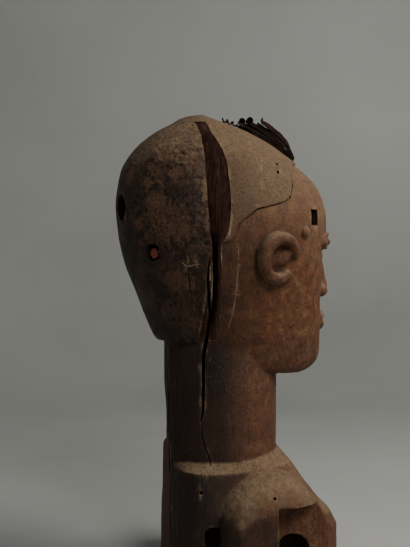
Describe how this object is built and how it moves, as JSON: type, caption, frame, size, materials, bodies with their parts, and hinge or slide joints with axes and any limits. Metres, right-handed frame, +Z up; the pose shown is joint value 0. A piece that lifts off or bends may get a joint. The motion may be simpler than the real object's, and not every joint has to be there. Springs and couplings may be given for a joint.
{
  "type": "ancestor figure",
  "caption": "Carved wooden ancestor head on a thick neck and cut-off shoulders, split down the right side, with a crest of dark hide strips.",
  "frame": {"origin": "on the flat underside, on the axis of the neck", "axes": "+Z up along the neck, the face looks along -Y, the figure's left is +X"},
  "size_m": [0.1564, 0.1766, 0.3656],
  "materials": {
    "old_wood": "old dark wood with worn polish, dust and stains",
    "dark_hide": "dried blackened hide with pale worn edges",
    "peg_wood": "dull reddish end grain",
    "dark_iron": "worn dark polish"
  },
  "bodies": {
    "root": {"carved_figure": "old_wood", "crest_strip_1": "dark_hide", "crest_strip_2": "dark_hide", "crest_strip_3": "dark_hide", "crest_strip_4": "dark_hide", "crest_strip_5": "dark_hide", "crest_strip_6": "dark_hide", "crest_curl": "dark_hide", "nape_peg": "peg_wood", "eye_stud_right": "dark_iron", "eye_stud_left": "dark_iron"}
  },
  "joints": []
}
